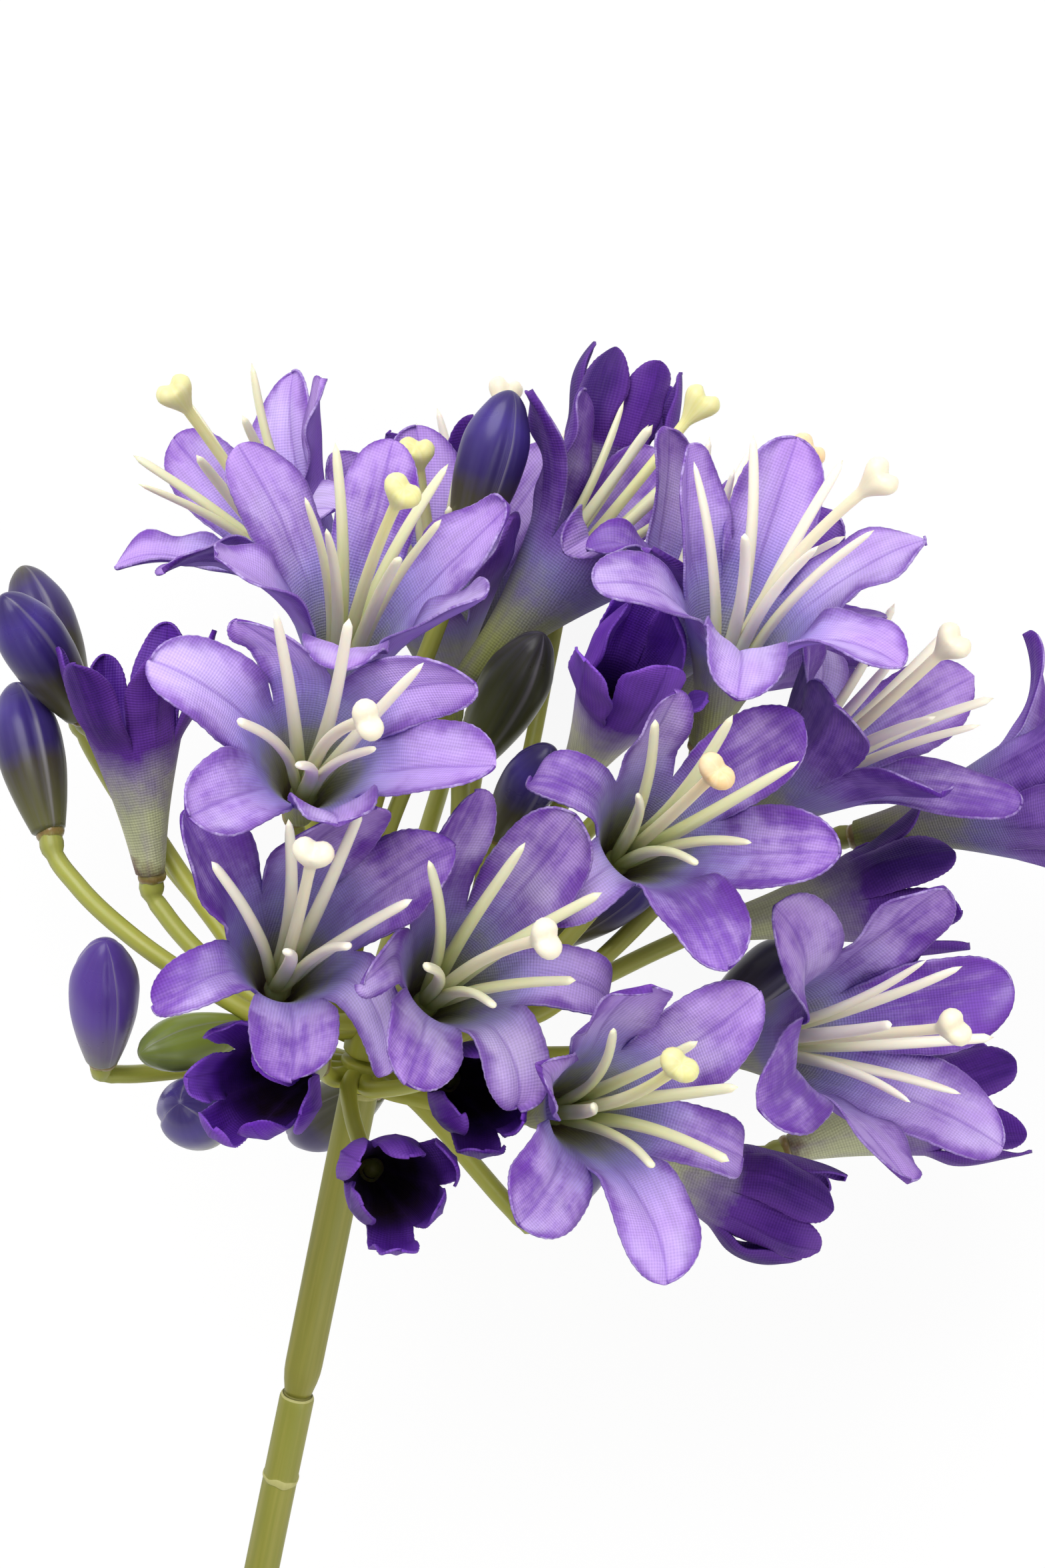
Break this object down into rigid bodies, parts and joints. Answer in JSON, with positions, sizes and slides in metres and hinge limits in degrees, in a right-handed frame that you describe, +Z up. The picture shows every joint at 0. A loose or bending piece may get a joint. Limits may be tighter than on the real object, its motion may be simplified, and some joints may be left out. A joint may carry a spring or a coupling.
{
  "type": "artificial agapanthus flower",
  "caption": "Artificial agapanthus on a cut stem, lying down: a round head of fabric trumpet florets with moulded stamens, half-open florets and buds on thin stalks.",
  "frame": {"origin": "middle of the bottom of the flower's box, on the surface that it lies on", "axes": "+Y from the cut end of the stem to the flower head, +Z up, +X to the right of the head as seen from above"},
  "size_m": [0.1858, 0.3086, 0.1455],
  "materials": {
    "open_floret_fabric": "woven polyester, pressed and dyed violet, with a grey-green foot",
    "half_open_floret_fabric": "woven polyester, pressed and dyed dark violet, with a grey-green foot",
    "stamen_plastic": "moulded soft plastic, cream",
    "bud_plastic": "moulded plastic, satin indigo with an olive foot",
    "green_bud_plastic": "moulded plastic, satin green",
    "stalk_plastic": "moulded soft plastic, yellow-green",
    "sleeve_plastic": "extruded soft plastic, matt olive green",
    "tube_plastic": "extruded soft plastic, matt olive green",
    "steel_wire": "drawn steel wire"
  },
  "bodies": {
    "root": {"open_floret_01": "open_floret_fabric", "open_floret_02": "open_floret_fabric", "open_floret_03": "open_floret_fabric", "open_floret_04": "open_floret_fabric", "open_floret_05": "open_floret_fabric", "open_floret_06": "open_floret_fabric", "open_floret_07": "open_floret_fabric", "open_floret_08": "open_floret_fabric", "open_floret_09": "open_floret_fabric", "open_floret_10": "open_floret_fabric", "open_floret_11": "open_floret_fabric", "open_floret_12": "open_floret_fabric", "open_floret_13": "open_floret_fabric", "open_floret_14": "open_floret_fabric", "open_floret_15": "open_floret_fabric", "open_floret_16": "open_floret_fabric", "stamens_01": "stamen_plastic", "stamens_02": "stamen_plastic", "stamens_03": "stamen_plastic", "stamens_04": "stamen_plastic", "stamens_05": "stamen_plastic", "stamens_06": "stamen_plastic", "stamens_07": "stamen_plastic", "stamens_08": "stamen_plastic", "stamens_09": "stamen_plastic", "stamens_10": "stamen_plastic", "stamens_11": "stamen_plastic", "stamens_12": "stamen_plastic", "stamens_13": "stamen_plastic", "stamens_14": "stamen_plastic", "stamens_15": "stamen_plastic", "stamens_16": "stamen_plastic", "half_open_floret_01": "half_open_floret_fabric", "half_open_floret_02": "half_open_floret_fabric", "half_open_floret_03": "half_open_floret_fabric", "half_open_floret_04": "half_open_floret_fabric", "half_open_floret_05": "half_open_floret_fabric", "half_open_floret_06": "half_open_floret_fabric", "half_open_floret_07": "half_open_floret_fabric", "half_open_floret_08": "half_open_floret_fabric", "half_open_floret_09": "half_open_floret_fabric", "bud_01": "bud_plastic", "bud_02": "bud_plastic", "bud_03": "bud_plastic", "bud_04": "bud_plastic", "bud_05": "green_bud_plastic", "bud_06": "bud_plastic", "bud_07": "bud_plastic", "bud_08": "bud_plastic", "bud_09": "bud_plastic", "bud_10": "bud_plastic", "bud_11": "bud_plastic", "bud_12": "bud_plastic", "bud_13": "bud_plastic", "stalk_whorl_lower": "stalk_plastic", "stalk_whorl_middle": "stalk_plastic", "stalk_whorl_upper": "stalk_plastic", "stem_sleeve": "sleeve_plastic", "stem_tube": "tube_plastic", "stem_wire": "steel_wire"}
  },
  "joints": []
}
